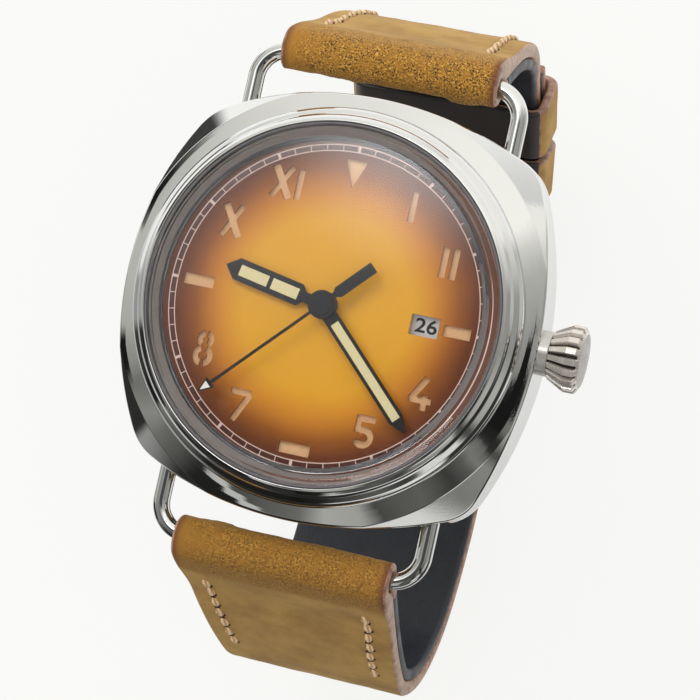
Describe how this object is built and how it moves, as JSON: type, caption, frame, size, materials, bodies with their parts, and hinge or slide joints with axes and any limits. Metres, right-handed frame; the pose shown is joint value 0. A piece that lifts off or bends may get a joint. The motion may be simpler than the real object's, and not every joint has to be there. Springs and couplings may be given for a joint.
{
  "type": "mechanical wristwatch",
  "caption": "Cushion-cased automatic wristwatch with an amber dial, wire lugs and a closed tan leather strap on a pin buckle.",
  "frame": {"origin": "on the surface that the closed strap stands on, straight below the hands' axis", "axes": "+Z out of the dial, +Y to 12 o'clock, +X to 3 o'clock and the crown"},
  "size_m": [0.0488, 0.0737, 0.054],
  "materials": {
    "polished_steel": "mirror polished stainless steel",
    "brushed_steel": "brushed stainless steel",
    "nickel": "nickel plated, fine striping",
    "brass": "gilt brass",
    "spring_steel": "tempered spring steel",
    "crystal": "clear domed crystal",
    "black_rubber": "black rubber gasket",
    "dial_paint": "amber dial fading to brown at its rim, lacquered",
    "lume": "cream luminous paint",
    "date_silver": "satin silver with black numbers",
    "black_hands": "satin black",
    "ruby": "synthetic ruby",
    "tan_suede": "tan distressed leather, rough at the folds",
    "dark_lining": "near-black smooth lining",
    "thread": "waxed cream thread"
  },
  "bodies": {
    "case": {"case_middle": "polished_steel", "bezel": "polished_steel", "crystal": "crystal", "crystal_gasket": "black_rubber", "rehaut_ring": "polished_steel", "caseback": "brushed_steel", "caseback_gasket": "black_rubber", "crown_tube": "polished_steel", "movement_ring": "nickel", "lug_wire_12": "polished_steel", "lug_wire_6": "polished_steel", "dial_plate": "dial_paint", "lume_plate": "lume", "main_plate": "nickel", "pallet_bridge": "nickel", "balance_cock": "nickel", "train_bridge": "nickel", "barrel_bridge": "nickel", "jewels": "ruby", "bridge_screws": "brushed_steel", "rotor_bearing": "brushed_steel", "hairspring": "spring_steel", "strap_12_leather": "tan_suede", "strap_12_lining": "dark_lining", "strap_6_leather": "tan_suede", "strap_6_lining": "dark_lining", "stitches": "thread", "fixed_keeper": "tan_suede", "buckle_frame": "polished_steel", "buckle_bar": "polished_steel"},
    "minute": {"minute_hand": "black_hands", "minute_hand_lume": "lume", "minute_drive_wheel": "brass"},
    "hour": {"hour_hand": "black_hands", "hour_hand_lume": "lume", "hour_wheel": "brass"},
    "seconds": {"seconds_hand": "black_hands", "seconds_wheel": "brass"},
    "barrel": {"barrel_drum": "brass", "mainspring": "spring_steel"},
    "second_wheel": {"second_wheel": "brass"},
    "third_wheel": {"third_wheel": "brass"},
    "escape": {"escape_wheel": "brushed_steel"},
    "minute_wheel": {"minute_wheel": "brass"},
    "date": {"date_disc": "date_silver"},
    "fork": {"pallet_fork": "brushed_steel"},
    "balance": {"balance_wheel": "brass"},
    "rotor": {"rotor": "nickel"},
    "crown_slide": {"crown_gasket": "black_rubber"},
    "crown": {"crown": "polished_steel", "winding_stem": "brushed_steel"},
    "pinions": {"winding_pinion": "brushed_steel", "sliding_pinion": "brushed_steel"},
    "crown_wheel": {"crown_wheel": "brushed_steel"},
    "ratchet": {"ratchet_wheel": "brushed_steel", "barrel_arbor": "brushed_steel"},
    "setting_lever": {"setting_lever": "brushed_steel"},
    "tongue": {"buckle_tongue": "polished_steel"},
    "keeper": {"sliding_keeper": "tan_suede"}
  },
  "joints": [
    {"name": "minute_turn", "type": "hinge", "parent": "case", "child": "minute", "pos_m": [0, 0, 0.05136], "axis": [0, 0, -1], "continuous": true},
    {"name": "hour_turn", "type": "hinge", "parent": "case", "child": "hour", "pos_m": [0, 0, 0.05116], "axis": [0, 0, -1], "continuous": true},
    {"name": "seconds_turn", "type": "hinge", "parent": "case", "child": "seconds", "pos_m": [0, 0, 0.05196], "axis": [0, 0, -1], "continuous": true},
    {"name": "barrel_turn", "type": "hinge", "parent": "case", "child": "barrel", "pos_m": [0.00562, 0.00624, 0.04746], "axis": [0, 0, 1], "continuous": true},
    {"name": "second_wheel_turn", "type": "hinge", "parent": "case", "child": "second_wheel", "pos_m": [0.00003, 0.00595, 0.04746], "axis": [0, 0, 1], "continuous": true},
    {"name": "third_wheel_turn", "type": "hinge", "parent": "case", "child": "third_wheel", "pos_m": [-0.00336, 0.00299, 0.04746], "axis": [0, 0, 1], "continuous": true},
    {"name": "escape_turn", "type": "hinge", "parent": "case", "child": "escape", "pos_m": [0.00035, -0.00398, 0.04746], "axis": [0, 0, 1], "continuous": true},
    {"name": "minute_wheel_turn", "type": "hinge", "parent": "case", "child": "minute_wheel", "pos_m": [0.00245, -0.00424, 0.04906], "axis": [0, 0, 1], "continuous": true},
    {"name": "date_turn", "type": "hinge", "parent": "case", "child": "date", "pos_m": [0, 0, 0.04946], "axis": [0, 0, 1], "continuous": true},
    {"name": "fork_rock", "type": "hinge", "parent": "case", "child": "fork", "pos_m": [-0.00192, -0.00535, 0.04746], "axis": [0, 0, 1], "range_deg": [-5, 5]},
    {"name": "balance_swing", "type": "hinge", "parent": "case", "child": "balance", "pos_m": [-0.00508, -0.00725, 0.04746], "axis": [0, 0, 1], "range_deg": [-270, 270], "stiffness_Nm_per_rad": 0.0000008, "deforming": ["hairspring"]},
    {"name": "rotor_turn", "type": "hinge", "parent": "case", "child": "rotor", "pos_m": [0, 0, 0.04446], "axis": [0, 0, 1], "continuous": true},
    {"name": "crown_pull", "type": "slide", "parent": "case", "child": "crown_slide", "axis": [1, 0, 0], "range_m": [0, 0.0015]},
    {"name": "crown_turn", "type": "hinge", "parent": "crown_slide", "child": "crown", "pos_m": [0.0245, 0, 0.04696], "axis": [1, 0, 0], "continuous": true},
    {"name": "winding_turn", "type": "hinge", "parent": "case", "child": "pinions", "pos_m": [0.0095, 0, 0.04696], "axis": [1, 0, 0], "continuous": true},
    {"name": "crown_wheel_turn", "type": "hinge", "parent": "case", "child": "crown_wheel", "pos_m": [0.00724, 0, 0.04526], "axis": [0, 0, 1], "continuous": true},
    {"name": "ratchet_turn", "type": "hinge", "parent": "case", "child": "ratchet", "pos_m": [0.00562, 0.00624, 0.04546], "axis": [0, 0, 1], "continuous": true},
    {"name": "lever_turn", "type": "hinge", "parent": "case", "child": "setting_lever", "pos_m": [0.0117, 0.0039, 0.04766], "axis": [0, 0, 1], "range_deg": [-1, 24]},
    {"name": "tongue_lift", "type": "hinge", "parent": "case", "child": "tongue", "pos_m": [0, 0.01605, 0.00654], "axis": [1, 0, 0], "range_deg": [0, 12]},
    {"name": "keeper_slide", "type": "slide", "parent": "case", "child": "keeper", "axis": [0, 0.6517, 0.7585], "range_m": [-0.0006, 0.0004]}
  ],
  "couplings": [
    {"joint": "hour_turn", "follows": "minute_turn", "ratio": 0.083333},
    {"joint": "seconds_turn", "follows": "minute_turn", "ratio": 60},
    {"joint": "barrel_turn", "follows": "minute_turn", "ratio": 0.14286},
    {"joint": "second_wheel_turn", "follows": "minute_turn", "ratio": -1},
    {"joint": "third_wheel_turn", "follows": "minute_turn", "ratio": 7.5},
    {"joint": "escape_turn", "follows": "minute_turn", "ratio": 720},
    {"joint": "minute_wheel_turn", "follows": "minute_turn", "ratio": 0.33333},
    {"joint": "date_turn", "follows": "minute_turn", "ratio": 0.0013441},
    {"joint": "winding_turn", "follows": "crown_turn", "ratio": 1},
    {"joint": "crown_wheel_turn", "follows": "crown_turn", "ratio": 0.41176},
    {"joint": "ratchet_turn", "follows": "crown_turn", "ratio": -0.28},
    {"joint": "lever_turn", "follows": "crown_pull", "rad_per_m": 256.41}
  ]
}
